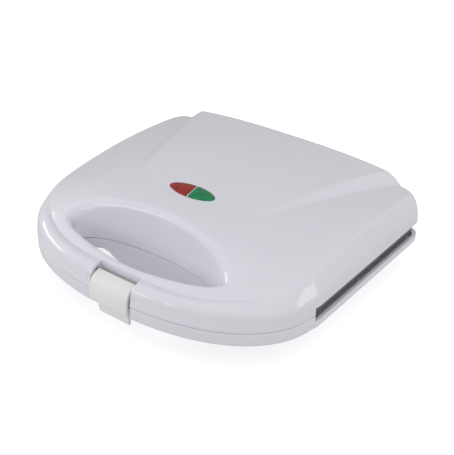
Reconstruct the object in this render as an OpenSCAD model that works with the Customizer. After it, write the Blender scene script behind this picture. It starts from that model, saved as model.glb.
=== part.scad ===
// Two-slice sandwich toaster, closed, standing on its feet.
// The lid swings up about the rear hinge; the latch on the handle swings out about its own pin.
// +Z up, -Y is the handle, the origin is the middle of the overall box at floor level.

/* [Overall] */
// Width over the two side flanks
body_w = 228; // [210:1:250]
// Depth from the hinge knuckles to the front of the latch
body_d = 214; // [205:1:235]
// Height of the parting line above the floor
parting_h = 31; // [28:0.5:38]

/* [Housing shells] */
// Wall thickness of both mouldings
wall = 2.2; // [1.8:0.1:3]
// Thickness of the decks that face each other round the hand hole
deck_t = 2.8; // [2:0.1:4]
// Gap between the two mouldings along the parting line
parting_gap = 0.3; // [0.3:0.1:0.8]
// Depth of the rounded front, from the straight flanks to the rim
nose_d = 69; // [60:1:80]
// Exponent of the front's superellipse: 2 is an ellipse
nose_n = 2.25; // [2:0.05:2.8]
// How far the flanks beside the plates stand proud of the rounded front
flank_proud = 1; // [0:0.1:2]
// Radius of the rear corners in plan
rear_r = 9; // [5:1:16]
// How far the rear edge bows out at its middle
rear_bow = 3; // [0:0.5:5]

/* [Lid] */
// Highest point of the lid's dome above the parting line
dome_h = 40.2; // [34:0.2:46]
// Fall of the dome's middle at the rear edge, before the raised panel
dome_rear_fall = 9; // [4:0.5:14]
// Fall of the dome's middle at the front rim
dome_front_fall = 15; // [8:0.5:20]
// Distance of the dome's highest point from the rear edge
dome_peak_back = 113; // [90:1:125]
// Height of the chamfer's upper edge at the middle of the flanks
shoulder_h = 29.4; // [24:0.2:33]
// Fall of the chamfer's upper edge from its highest point to the rear
shoulder_rear_fall = 4; // [2:0.2:6]
// Distance of the chamfer's highest point from the rear edge
shoulder_peak_back = 60; // [50:1:75]
// Height of the chamfer's upper edge at the front
shoulder_front_h = 12.6; // [11:0.2:16]
// Width of the chamfered edge in plan
shoulder_in = 8.4; // [6:0.2:10]
// Height of the raised centre panel at the rear
panel_h = 7; // [3:0.5:9]
// Half width of the raised panel at the rear
panel_half_rear = 88; // [80:1:94]
// Half width of the raised panel where it fades out
panel_half_front = 50; // [40:1:60]
// Length of the raised panel
panel_l = 119; // [100:1:125]

/* [Base] */
// Height of the base's rim below the parting line
rim_h = 9.6; // [8:0.2:12]
// Depth of the pan below the parting line
pan_h = 27; // [24:0.5:30]
// Half width of the pan where it leaves the rim
pan_half_top = 106; // [104:1:108]
// Half width of the pan's flat bottom
pan_half_bottom = 88; // [86:1:92]

/* [Hand hole] */
// Half width of the hole at the deck
hole_half = 56; // [48:1:60]
// Half width of the scoop at the top of the lid
scoop_half = 68; // [60:1:72]
// Depth of the bar that the fingers close round, at the parting line
bar_d = 20; // [16:0.5:24]
// Width of the hole from front to back at the parting line
hole_d = 30; // [26:0.5:34]
// Radius of the scoop's rounded upper edge
scoop_edge_r = 5; // [2:0.5:6]
// Height of the base's dam behind the hole above the parting line
dam_h = 5; // [3:0.2:6]

/* [Cooking plates] */
// Lower edge of the side slot, below the parting line
slot_low = 3.6; // [3:0.1:5]
// Upper edge of the side slot, above the parting line
slot_high = 6.2; // [5:0.1:8]
// Setback of the upper plate's edge from the flank
upper_edge_in = 2.6; // [1.5:0.1:4]
// Setback of the lower plate's edge from the flank
lower_edge_in = 4.2; // [2.5:0.1:6]
// Length of the plates from front to rear
plate_l = 138; // [130:1:142]
// Width of one sandwich well at the parting line
well_w = 94; // [88:1:95]
// Length of one sandwich well at the parting line
well_l = 118; // [104:1:122]
// Depth of a well below the face of its plate
well_depth = 11; // [8:0.5:12]
// Wall of a well
well_wall = 2.4; // [2:0.1:3]
// Width of the sealing land between two pockets
land_w = 5; // [4:0.5:8]
// Slope of a well's walls, as inset for the whole depth
well_draft = 7; // [5:0.5:10]
// Half width of the middle web between the two wells
web_half = 5.5; // [5:0.1:6]

/* [Heating] */
// Radius of the tubular elements
element_r = 3.2; // [2.8:0.1:3.6]
// Half distance between the legs of an element
element_half = 50; // [40:1:56]
// Radius of an element's bends
element_bend = 16; // [12:1:22]
// Sheet thickness of the reflectors
reflector_t = 0.6; // [0.5:0.1:1]
// Half width of a reflector
reflector_half = 66; // [58:1:68]
// Seating gap between the heating pieces
seat_gap = 0.25; // [0.2:0.05:0.3]

/* [Hinge] */
// Radius of the hinge knuckles
knuckle_r = 4.2; // [3.6:0.1:5]
// Radius of the hinge pins
pin_r = 1.6; // [1.4:0.1:2]
// Running clearance of the lid on its pins
pin_clear = 0.05; // [0.03:0.01:0.1]
// Distance of each hinge from the middle
hinge_x = 62; // [50:1:75]
// Width of the lid's knuckle
knuckle_w = 14; // [10:1:20]
// Width of each ear on the base
ear_w = 6; // [5:0.5:9]
// Side gap between the knuckles
knuckle_gap = 0.4; // [0.3:0.1:0.8]
// Distance from the rear edge to the hinge axis
axis_back = 7.2; // [6:0.1:9]
// Height of the hinge axis above the parting line
axis_up = 1.3; // [0:0.1:3]

/* [Latch] */
// Width of the latch's cover
latch_w = 32; // [26:1:38]
// Width of the finger tab below the cover
tab_w = 26; // [20:1:30]
// How far the latch stands proud of the rim
latch_proud = 1.5; // [0.5:0.1:3]
// Top of the latch above the parting line
latch_top = 12.2; // [11:0.1:14]
// Bottom of the cover below the parting line
cover_bottom = 6.6; // [5:0.2:8]
// Bottom of the finger tab below the parting line
tab_bottom = 18; // [14:0.5:20]
// Wall of the latch
latch_t = 2.7; // [2:0.1:3]
// Gap all round the latch in its notch
latch_gap = 1.3; // [0.9:0.1:1.5]
// Depth of the notch for the latch in the lid
notch_d = 12.5; // [12.4:0.1:14]
// Running clearance of the latch on its pin
latch_clear = 0.05; // [0.03:0.01:0.1]
// Radius of the pin that the latch swings on
latch_pin_r = 1.2; // [1:0.1:1.5]

/* [Indicator window] */
// Length of the lens across the lid
lens_l = 37; // [30:1:44]
// Width of the lens from front to back
lens_w = 14.5; // [12:0.5:18]
// Distance of the lens behind the front rim
lens_back = 84; // [80:1:92]
// Gap between the two halves and round them
lens_gap = 0.3; // [0.2:0.1:0.6]
// Slant of the joint between the two halves: positive leans right towards the rear
lens_slant = -11; // [-30:1:30]

/* [Feet and cord outlet] */
// Radius of the feet
foot_r = 9; // [7:0.5:11]
// Distance of the feet from the middle
foot_x = 56; // [46:1:62]
// Distance between the front and rear feet
foot_span = 84; // [70:1:90]
// Radius of the bore of the cord's bush
outlet_r = 3.8; // [3.2:0.1:4.5]
// Sideways place of the cord outlet
outlet_x = 30; // [20:1:40]
// Height of the cord outlet above the floor
outlet_h = 13; // [12:0.2:14]
// Radius of the screws' shanks
screw_r = 1.7; // [1.5:0.1:2]
// Radius of the screws' heads
screw_head_r = 3.6; // [3:0.1:4]

/* [Hidden] */
white = [0.92, 0.92, 0.94];
latch_grey = [0.85, 0.86, 0.83];
coating = [0.2, 0.2, 0.19];
steel = [0.72, 0.73, 0.75];
copper_tone = [0.78, 0.55, 0.36];
black = [0.12, 0.12, 0.12];

// Places along Y
rear_y = body_d / 2 - knuckle_r - axis_back;
rim_y = -body_d / 2 + latch_proud;
nose_y = rim_y + nose_d;
axis_y = rear_y + axis_back;
slot_y = nose_y - 5;
plate_rear_y = rear_y - 3;
plate_front_y = plate_rear_y - plate_l;
bar_y = rim_y + bar_d;
hole_y = bar_y + hole_d;
dam_y = plate_front_y - 0.6;
lens_y = rim_y + lens_back;
peak_y = rear_y - dome_peak_back;
hole_mid_y = bar_y + hole_d / 2;
notch_y = rim_y + notch_d;
base_notch_y = rim_y + 6;
latch_pin_y = rim_y + 6.2;
latch_pin_z = parting_h + latch_top - 5;
well_mid_y = (plate_front_y + plate_rear_y) / 2;
well_mid_x = web_half + well_w / 2;

// Places along Z
parting_z = parting_h;
axis_z = parting_z + axis_up;
plate_bottom_z = parting_z - slot_low + 0.3;
plate_top_z = parting_z + slot_high - 0.3;
lower_face_z = parting_z - parting_gap / 2;
upper_face_z = parting_z + parting_gap / 2;
low_element_z = lower_face_z - well_depth - well_wall - seat_gap - element_r;
high_element_z = upper_face_z + well_depth + well_wall + seat_gap + element_r;
low_reflector_z = low_element_z - element_r - seat_gap - reflector_t;
high_reflector_z = high_element_z + element_r + seat_gap;
pan_floor_z = parting_z - pan_h;
foot_h = pan_floor_z;

half_w = body_w / 2;
shoulder_half = half_w - shoulder_in;
shoulder_nose = nose_d - shoulder_in;

// Counts of faces along the outline: across the front and rear, and along each flank
across = 16;
along = 14;
ring_n = 2 * (across + along);
nose_cut = 40;
flank_steps = 7;
corner_steps = 2;

// The hand hole's outline has this many points
hole_n = 44;

// Well corners
well_r = 6;
well_corner_steps = 3;
screw_inset = 9;
screw_places = [[0, plate_front_y + 11], [0, plate_rear_y - 26],
    [-half_w + screw_inset, well_mid_y], [half_w - screw_inset, well_mid_y]];
boss_r = screw_head_r + 0.6;
head_t = 1.5;
recess_d = head_t + 0.3;
shank_clear = 0.2;
part_gap = 0.1;
upper_screw_l = 11;
lower_screw_l = 6;
rear_foot_y = rear_y - 30;
foot_places = [for (x = [-foot_x, foot_x]) for (y = [rear_foot_y - foot_span, rear_foot_y]) [x, y]];
pan_mid_y = rear_y - 90;
foot_screw_l = 5.6;
foot_boss_h = 3;
arm_h = 4.5;

function power(v, e) = sign(v) * pow(abs(v), e);
function mix(a, b, t) = a + (b - a) * t;

// ---- Outline of the housings in plan, drawn in by some distance ----

function nose_point(t, half, depth) =
    [half * power(cos(t), 2 / nose_n), nose_y + depth * power(sin(t), 2 / nose_n)];

// Right flank from the nose to the middle of the rear corner
nose_steps = along - flank_steps - corner_steps;

function flank(half, depth, rear) = concat(
    [for (k = [0:nose_steps - 1]) nose_point(-nose_cut * (1 - k / nose_steps), half - flank_proud, depth)],
    [for (k = [0:flank_steps]) [half, mix(nose_y, rear - rear_r, k / flank_steps)]],
    [for (k = [1:corner_steps])
        let (q = 45 * k / corner_steps) [half - rear_r + rear_r * cos(q), rear - rear_r + rear_r * sin(q)]]);

function nose(half, depth) =
    [for (k = [0:across])
        nose_point(-180 + nose_cut + (180 - 2 * nose_cut) * k / across, half - flank_proud, depth)];

function rear_edge(half, rear) =
    let (c = half - rear_r)
    [for (k = [0:across])
        let (q = 45 + 45 * min(k, across - k, corner_steps) / corner_steps)
        let (s = (k - corner_steps) / (across - 2 * corner_steps))
        (k < corner_steps) ? [c + rear_r * cos(q), rear - rear_r + rear_r * sin(q)]
        : (k > across - corner_steps) ? [-c - rear_r * cos(q), rear - rear_r + rear_r * sin(q)]
        : [c * (1 - 2 * s), rear + rear_bow * (1 - pow(1 - 2 * s, 2))]];

function flip(points) = [for (k = [len(points) - 1:-1:0]) [-points[k][0], points[k][1]]];
function inner(points) = [for (k = [1:len(points) - 2]) points[k]];

// Closed outline, counter-clockwise from the left end of the nose
function outline(in_side, in_rear) =
    let (half = half_w - in_side)
    let (depth = nose_d - in_side)
    let (side = flank(half, depth, rear_y - in_rear))
    concat(nose(half, depth), [for (k = [1:len(side) - 1]) side[k]],
        inner(rear_edge(half, rear_y - in_rear)), [for (k = [0:len(side) - 2]) flip(side)[k]]);

// ---- Height of the lid ----

function shoulder_z(y) =
    let (t = (y - rear_y + shoulder_peak_back) / shoulder_peak_back)
    max(shoulder_front_h, shoulder_h - shoulder_rear_fall * t * t);

function dome_z(y) = dome_h - ((y > peak_y)
    ? dome_rear_fall * pow((y - peak_y) / dome_peak_back, 2)
    : dome_front_fall * pow((peak_y - y) / (peak_y - rim_y), 2));

function reach(x, y) = pow(pow(abs(x) / shoulder_half, nose_n)
    + pow(max(0, nose_y - y) / shoulder_nose, nose_n), 1 / nose_n);

function lid_z(x, y) =
    let (r = min(1, reach(x, y)))
    shoulder_z(y) + (dome_z(y) - shoulder_z(y)) * (1 - pow(r, 3));

// ---- Solids from rings and grids ----

function ring_faces(n, m) = [for (j = [0:m - 2]) for (k = [0:n - 1]) each [
    [j * n + k, (j + 1) * n + (k + 1) % n, j * n + (k + 1) % n],
    [j * n + k, (j + 1) * n + k, (j + 1) * n + (k + 1) % n]]];

function lower_cap(n) = [for (k = [0:n - 1]) k];

module loft(rings) {
    n = len(rings[0]);
    m = len(rings);
    polyhedron(
        points = [for (ring = rings) each ring],
        faces = concat([lower_cap(n)], ring_faces(n, m), [[for (k = [n - 1:-1:0]) (m - 1) * n + k]]),
        convexity = 6);
}

// Keeps a moulding whose faces are all flat facets as one mesh
module moulded() {
    resize([0, 0, 0]) children();
}

function at_z(points, z) = [for (p = points) [p[0], p[1], z]];

// Index of a node of the dome's grid: its border is the last ring
function grid_node(i, j, base) =
    (j == 0) ? base + i
    : (i == across) ? base + across + j
    : (j == along) ? base + across + along + (across - i)
    : (i == 0) ? base + 2 * across + along + (along - j)
    : base + ring_n + (j - 1) * (across - 1) + (i - 1);

function coons(ring, i, j) =
    let (u = i / across, v = j / along)
    let (front = ring[i], rear = ring[across + along + (across - i)])
    let (left = ring[(2 * across + along + (along - j)) % ring_n], right = ring[across + j])
    (1 - v) * front + v * rear + (1 - u) * left + u * right
    - (1 - u) * (1 - v) * ring[0] - u * (1 - v) * ring[across]
    - (1 - u) * v * ring[2 * across + along] - u * v * ring[across + along];

function grid_faces(base) = [for (j = [0:along - 1]) for (i = [0:across - 1]) each [
    [grid_node(i, j, base), grid_node(i + 1, j + 1, base), grid_node(i + 1, j, base)],
    [grid_node(i, j, base), grid_node(i, j + 1, base), grid_node(i + 1, j + 1, base)]]];

// The lid's skin: walls and chamfer from rings, dome from a grid inside the shoulder.
// Each row is [share of the shoulder's inset, inset at the rear, share of the shoulder's height].
lid_profile = [[0, 0, 0], [0.03, 0.1, 0.3], [0.07, 0.3, 0.46], [0.18, 0.6, 0.57],
    [0.5, 1, 0.77], [0.8, 1.6, 0.93], [1, 3, 1]];

function lid_ring(row, drop) =
    let (p = outline(row[0] * shoulder_in + drop, row[1] + drop))
    let (s = outline(shoulder_in, lid_profile[6][1]))
    [for (k = [0:ring_n - 1])
        [p[k][0], p[k][1], parting_z + row[2] * (lid_z(s[k][0], s[k][1]) - drop)]];

module lid_skin(drop, bottom) {
    rings = concat([at_z(lid_ring(lid_profile[0], drop), bottom)],
        [for (j = [1:len(lid_profile) - 1]) lid_ring(lid_profile[j], drop)]);
    last = [for (p = rings[len(rings) - 1]) [p[0], p[1]]];
    polyhedron(
        points = concat([for (ring = rings) each ring],
            [for (j = [1:along - 1]) for (i = [1:across - 1])
                let (p = coons(last, i, j)) [p[0], p[1], parting_z + lid_z(p[0], p[1]) - drop]]),
        faces = concat([lower_cap(ring_n)], ring_faces(ring_n, len(rings)),
            grid_faces((len(rings) - 1) * ring_n)),
        convexity = 6);
}

// Raised centre panel: a fan-shaped plateau that sinks into the dome at its front.
// Each row is [share of the length, how far the top is rounded down there].
panel_rows = [[0, 0.4], [0.12, 0], [0.25, 0], [0.38, 0], [0.5, 0], [0.62, 0], [0.74, 0],
    [0.86, 0], [0.95, 0], [0.985, 0.6], [1, 2]];
panel_columns = [-1.07, -1, -0.96, -0.8, -0.5, -0.2, 0.2, 0.5, 0.8, 0.96, 1, 1.07];
panel_round = 0.7;
panel_sunk = 3.5;
panel_under = 5;

function panel_place(c, t, drop) =
    let (x = c * (mix(panel_half_front, panel_half_rear, t) - ((abs(c) > 0.9) ? drop : 0)))
    let (bow = rear_bow * (1 - pow(x / shoulder_half, 2)))
    [x, mix(rear_y - panel_l, rear_y - lid_profile[5][1] - drop + bow, t)];

function panel_top(p, c, row) =
    let (rise = panel_h * row[0] - row[1])
    lid_z(p[0], p[1]) + ((abs(c) > 1.01) ? -panel_sunk : (abs(c) > 0.99) ? rise - panel_round : rise);

function strip_faces(n, m, count) = concat(
    [for (j = [0:m - 2]) for (k = [0:n - 2]) let (a = j * n + k, b = a + 1, c = b + n, d = a + n) each [
        [a, c, b], [a, d, c], [count + a, count + b, count + c], [count + a, count + c, count + d]]],
    [for (k = [0:n - 2]) let (a = k, b = (m - 1) * n + k) each [
        [a, count + a + 1, count + a], [a, a + 1, count + a + 1],
        [b + 1, count + b, count + b + 1], [b + 1, b, count + b]]],
    [for (j = [0:m - 2]) let (a = j * n, b = a + n - 1) each [
        [a + n, count + a, count + a + n], [a + n, a, count + a],
        [b, count + b + n, count + b], [b, b + n, count + b + n]]]);

module raised_panel(drop) {
    n = len(panel_columns);
    m = len(panel_rows);
    upper = [for (row = panel_rows) for (c = panel_columns)
        let (p = panel_place(c, row[0], drop)) [p[0], p[1], parting_z + panel_top(p, c, row) - drop]];
    under = [for (p = upper) [p[0], p[1], parting_z + lid_z(p[0], p[1]) - drop - panel_under]];
    polyhedron(points = concat(upper, under), faces = strip_faces(n, m, n * m), convexity = 6);
}

// ---- Hand hole ----

// Point of the scoop's outline: rise runs from 0 at the deck to 1 at the top edge, out is an offset
function scoop_point(t, rise, out) =
    let (u = abs(cos(t)), front = max(0, -sin(t)))
    let (mid = mix(hole_mid_y, hole_mid_y - 1.5, rise))
    let (half = mix(hole_half, scoop_half - scoop_edge_r, rise) + out)
    let (rear_d = mix(hole_y, hole_y + 2.5, rise) - mid + out)
    let (front_d = mid - bar_y + 1.5 * pow(rise, 3) + out * (1 + 0.3 * front))
    let (bow = pow(1 - pow(u, mix(2, 1.6, rise)), mix(0.5, 0.68, rise)))
    [half * cos(t), mid + ((sin(t) >= 0) ? rear_d : -front_d) * bow];

function scoop_ring(rise, out, low) = [for (k = [0:hole_n - 1])
    let (t = 360 * k / hole_n)
    let (p = scoop_point(t, rise, out), edge = scoop_point(t, 1, scoop_edge_r))
    [p[0], p[1], parting_z + mix(dam_h, lid_z(edge[0], edge[1]) - low, rise)]];

module scoop(out) {
    loft(concat(
        [at_z(scoop_ring(0, out, 0), -1), scoop_ring(0, out, 0)],
        [for (rise = [0.35, 0.7, 1]) scoop_ring(rise, out, scoop_edge_r)],
        [scoop_ring(1, 0.3 * scoop_edge_r + out, 0.3 * scoop_edge_r),
            scoop_ring(1, scoop_edge_r + out, 0),
            scoop_ring(1, scoop_edge_r + 3 + out, -3),
            scoop_ring(1, scoop_edge_r + 3 + out, -30)]));
}

module hole_prism(out, low, high) {
    loft([at_z(scoop_ring(0, out, 0), low), at_z(scoop_ring(0, out, 0), high)]);
}

// Region behind the hole where the base's dam stands up into the lid
dam_gap = 0.5;
dam_half = hole_half + 6;
dam_front_y = hole_mid_y - 4;

module block(low, high) {
    translate(low) cube(high - low);
}

module dam_block(grow, low, high) {
    block([-dam_half - grow, dam_front_y - grow, low], [dam_half + grow, dam_y, high]);
}

// ---- Shapes shared by both housings ----

// Plan of a plate: front and rear corners have radii of their own
function corner(x, y, r, from) =
    [for (k = [0:5]) [x + r * cos(from + 18 * k), y + r * sin(from + 18 * k)]];

function plan(half, front, rear, front_r, rear_r) = concat(
    corner(half - rear_r, rear - rear_r, rear_r, 0), corner(-half + rear_r, rear - rear_r, rear_r, 90),
    corner(-half + front_r, front + front_r, front_r, 180),
    corner(half - front_r, front + front_r, front_r, 270));

module notch(front_y, grow, low, high) {
    half = latch_w / 2 + latch_gap + grow;
    block([-half, rim_y - 10, low], [half, front_y + grow, high]);
}

// Everything that the side slot removes from both housings
module slot_cut() {
    block([-half_w - 5, slot_y, parting_z - slot_low], [half_w + 5, rear_y + 10, parting_z + slot_high]);
}

// Bosses stand at the screws' places
module bosses(low, high) {
    for (p = screw_places) translate([p[0], p[1], low]) cylinder(r = boss_r, h = high - low, $fn = 32);
}

// Knuckle with the arm that carries it: up is 1 for the lid and -1 for the base
module hinge_arm(x, w, up, edge) {
    translate([x + w / 2, axis_y, axis_z]) rotate([90, 0, -90]) mirror([1, 0, 0])
        linear_extrude(height = w) {
            circle(r = knuckle_r, $fn = 64);
            polygon([[0, -0.9 * knuckle_r * up], [0.9 * knuckle_r, 0],
                [0.66 * knuckle_r, 0.66 * knuckle_r * up],
                [0.5 - axis_back, (edge + arm_h) * up], [-axis_back - 1, (edge + arm_h) * up],
                [-axis_back - 1, (edge + 0.4) * up], [-0.9 * knuckle_r, 0]]);
        }
}

module along_x(x, y, z, r, l) {
    translate([x - l / 2, y, z]) rotate([0, 90, 0]) cylinder(r = r, h = l, $fn = 48);
}

// ---- Lid ----

lens_r = (pow(lens_l / 2, 2) + pow(lens_w / 2, 2)) / lens_w;

// Almond outline of the indicator window
module almond(grow) {
    intersection() {
        translate([0, lens_y + lens_w / 2 - lens_r]) circle(r = lens_r + grow, $fn = 96);
        translate([0, lens_y - lens_w / 2 + lens_r]) circle(r = lens_r + grow, $fn = 96);
    }
}

module upper_shell() {
    deck_z = parting_z + deck_t;
    dam_top = parting_z + dam_h + dam_gap;
    difference() {
        union() {
            lid_skin(0, upper_face_z);
            raised_panel(0);
        }
        difference() {
            union() {
                lid_skin(wall, upper_face_z - 1);
                raised_panel(wall);
            }
            block([-half_w, rim_y, parting_z - 2], [half_w, dam_y, deck_z]);
            dam_block(dam_gap + wall, parting_z - 2, dam_top + deck_t);
            scoop(wall);
            notch(notch_y, wall, parting_z - 2, parting_z + 30);
            bosses(plate_top_z + part_gap, parting_z + dome_h);
        }
        block([-half_w, dam_y, parting_z - 2], [half_w, slot_y + 1, upper_face_z]);
        scoop(0);
        notch(notch_y, 0, parting_z - 2, parting_z + 30);
        dam_block(dam_gap, parting_z - 2, dam_top);
        slot_cut();
    }
}

module upper_housing() {
    color(white) difference() {
        union() {
            moulded() upper_shell();
            for (x = [-hinge_x, hinge_x]) hinge_arm(x, knuckle_w, 1, slot_high - axis_up);
        }
        for (x = [-hinge_x, hinge_x]) along_x(x, axis_y, axis_z, pin_r + pin_clear, knuckle_w + 1);
        along_x(0, latch_pin_y, latch_pin_z, latch_pin_r, latch_w + 2 * latch_gap + 2 * wall + 1);
        translate([0, 0, parting_z + 20]) linear_extrude(height = 30) almond(lens_gap);
        for (p = screw_places) translate([p[0], p[1], plate_top_z - 1])
            cylinder(r = screw_r, h = upper_screw_l - 3, $fn = 32);
    }
}

// One triangular pocket, drafted evenly from its three sides
module pocket(side) {
    a = well_w - land_w * 1.3;
    b = well_l - land_w * 1.3;
    r = (a + b - norm([a, b])) / 2;
    translate([side * (r - well_w / 2), side * (well_l / 2 - r), -1])
        linear_extrude(height = well_depth + 1, scale = 1 - well_draft / r)
            offset(r = 4, $fn = 20) offset(delta = -4)
                scale([side, -side]) translate([-r, -r]) polygon([[0, 0], [a, 0], [0, b]]);
}

// A cooking plate with its face at z = 0 and its pockets going up
module plate_casting(edge_in, flange_t) {
    w = well_w + 2 * well_wall;
    l = well_l + 2 * well_wall;
    difference() {
        union() {
            linear_extrude(height = flange_t)
                polygon(plan(half_w - edge_in, plate_front_y, plate_rear_y, 10, 8));
            for (s = [-1, 1]) translate([s * well_mid_x, well_mid_y, 0])
                linear_extrude(height = well_depth + well_wall,
                    scale = [1 - 2 * well_draft / w, 1 - 2 * well_draft / l])
                    offset(r = 6, $fn = 20) square([w - 12, l - 12], center = true);
        }
        for (s = [-1, 1]) translate([s * well_mid_x, well_mid_y, 0]) scale([s, 1, 1]) {
            pocket(1);
            pocket(-1);
        }
    }
}

module plate_holes(edge) {
    for (p = screw_places) translate([p[0], p[1], -1]) {
        cylinder(r = screw_head_r + 0.3, h = recess_d + 1, $fn = 32);
        cylinder(r = screw_r + shank_clear, h = edge, $fn = 32);
    }
}

module upper_plate() {
    color(coating) translate([0, 0, upper_face_z]) difference() {
        moulded() plate_casting(upper_edge_in, plate_top_z - upper_face_z);
        plate_holes(20);
    }
}

module lower_plate() {
    color(coating) translate([0, 0, lower_face_z]) mirror([0, 0, 1]) difference() {
        moulded() plate_casting(lower_edge_in, lower_face_z - plate_bottom_z);
        plate_holes(20);
    }
}

// ---- Heating ----

element_front_in = 16;
element_rear_in = 15;
element_front_y = well_mid_y - well_l / 2 + element_front_in;
element_rear_y = well_mid_y + well_l / 2 - element_rear_in;

module element(z) {
    leg = element_rear_y - element_front_y - element_bend;
    for (s = [-1, 1]) {
        translate([s * element_half, element_rear_y, z]) rotate([90, 0, 0])
            cylinder(r = element_r, h = leg, $fn = 32);
        translate([s * element_half, element_rear_y + 9, z]) rotate([90, 0, 0])
            cylinder(r = 1.3, h = 10, $fn = 24);
        translate([s * (element_half - element_bend), element_front_y + element_bend, z])
            rotate([0, 0, (s > 0) ? 270 : 180])
                rotate_extrude(angle = 90, $fn = 48) translate([element_bend, 0])
                    circle(r = element_r, $fn = 32);
    }
    along_x(0, element_front_y, z, element_r, 2 * (element_half - element_bend));
}

module upper_element() {
    color(steel) element(high_element_z);
}

module lower_element() {
    color(steel) element(low_element_z);
}

lip_h = 3;
tray_front_y = element_front_y - 9;
tray_rear_y = element_rear_y + 11;

// Sheet tray with a turned edge; lip is 1 up or -1 down
module tray(z, lip) {
    low = [-reflector_half, tray_front_y];
    high = [reflector_half, tray_rear_y];
    difference() {
        translate([low[0], low[1], (lip > 0) ? z : z - lip_h])
            cube([high[0] - low[0], high[1] - low[1], lip_h + reflector_t]);
        translate([low[0] + reflector_t, low[1] + reflector_t, (lip > 0) ? z + reflector_t : z - lip_h - 1])
            cube([high[0] - low[0] - 2 * reflector_t, high[1] - low[1] - 2 * reflector_t, lip_h + 1]);
        translate([0, screw_places[1][1], z - 1]) cylinder(r = boss_r + 1, h = 3, $fn = 32);
    }
}

module upper_reflector() {
    color(steel) tray(high_reflector_z, -1);
}

module lower_reflector() {
    color(steel) tray(low_reflector_z, 1);
}

// ---- Fastenings ----

// Pan-headed screw whose head lies at z = 0 and whose shank goes up
module screw(shank_r, head_r, l) {
    difference() {
        cylinder(r = head_r, h = head_t, $fn = 32);
        for (q = [0, 90]) rotate([0, 0, q]) translate([-0.4, -1.8, -1]) cube([0.8, 3.6, 1.9]);
    }
    cylinder(r = shank_r, h = head_t + l, $fn = 32);
}

module upper_plate_screws() {
    color(steel) for (p = screw_places) translate([p[0], p[1], upper_face_z + 0.2])
        screw(screw_r, screw_head_r, upper_screw_l);
}

module lower_plate_screws() {
    color(steel) for (p = screw_places) translate([p[0], p[1], lower_face_z - 0.2]) mirror([0, 0, 1])
        screw(screw_r, screw_head_r, lower_screw_l);
}

module foot_screws() {
    color(steel) for (p = foot_places) translate([p[0], p[1], 1.2])
        screw(screw_r, screw_head_r, foot_screw_l);
}

module rubber_feet() {
    color(black) for (p = foot_places) translate([p[0], p[1], 0]) difference() {
        rotate_extrude($fn = 48)
            polygon([[0, 0], [foot_r - 1, 0], [foot_r, 1], [foot_r, foot_h - part_gap], [0, foot_h - part_gap]]);
        translate([0, 0, -1]) cylinder(r = screw_head_r + 0.4, h = 1.2 + head_t + 1, $fn = 32);
        cylinder(r = screw_r + shank_clear, h = foot_h + 1, $fn = 32);
    }
}

pin_l = knuckle_w + 2 * knuckle_gap + 2 * ear_w;

module hinge_pins() {
    color(steel) for (x = [-hinge_x, hinge_x]) along_x(x, axis_y, axis_z, pin_r, pin_l);
}

module latch_pin() {
    color(steel) along_x(0, latch_pin_y, latch_pin_z, latch_pin_r, latch_w + 2 * latch_gap + 2 * wall - 0.4);
}

// ---- Base ----

// Plan of the pan: a superellipse in front, rounded corners behind
pan_n = 8;
pan_steps = 24;
pan_front = 56;

function pan_nose(half, depth) = [for (k = [0:pan_steps]) let (t = 180 + 180 * k / pan_steps)
    [half * power(cos(t), 2 / pan_n), pan_mid_y + depth * power(sin(t), 2 / pan_n)]];

function pan_ring(half, depth, rear, r, z) = at_z(concat(pan_nose(half, depth),
    corner(half - r, rear - r, r, 0), corner(-half + r, rear - r, r, 90)), z);

module pan(drop, top) {
    high = parting_z - rim_h;
    half = pan_half_bottom - drop;
    floor_z = pan_floor_z + drop;
    loft([
        pan_ring(half - 3, pan_front - 15 - drop, rear_y - 15 - drop, 12, floor_z),
        pan_ring(half, pan_front - 12 - drop, rear_y - 12 - drop, 14, floor_z + 2),
        pan_ring(pan_half_top - drop, pan_front - drop, rear_y - 3 - drop, 14, high + drop),
        pan_ring(pan_half_top - drop, pan_front - drop, rear_y - 3 - drop, 14, top)]);
}

module rim(drop, top) {
    bottom = parting_z - rim_h + drop;
    loft([
        at_z(outline(2.4 + drop, 2.4 + drop), bottom),
        at_z(outline(0.8 + drop, 0.8 + drop), bottom + 1),
        at_z(outline(drop, drop), bottom + 3),
        at_z(outline(drop, drop), top)]);
}

skirt_h = 17;
skirt_half = 40;

// Skirt below the rim, behind the hand hole
module hole_skirt() {
    intersection() {
        hole_prism(wall, parting_z - skirt_h, parting_z - rim_h + 1);
        block([-skirt_half - 1, hole_mid_y, 0], [skirt_half + 1, hole_y + 5, parting_z]);
    }
}

// Cuts that open the rim from below at both ends of the hand hole: between them the wall narrows downwards
module hole_ends() {
    high = lower_face_z - parting_z - deck_t + 0.2;
    edge = hole_half + wall + 3;
    for (s = [-1, 1]) translate([0, hole_y + 3, parting_z]) rotate([90, 0, 0])
        linear_extrude(height = hole_d / 2 + 7) scale([s, 1])
            polygon([[skirt_half + 4, high], [skirt_half - 4, -rim_h - 0.6], [skirt_half - 12, -skirt_h],
                [skirt_half - 14, -skirt_h - 2], [edge, -skirt_h - 2], [edge, high]]);
}

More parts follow.
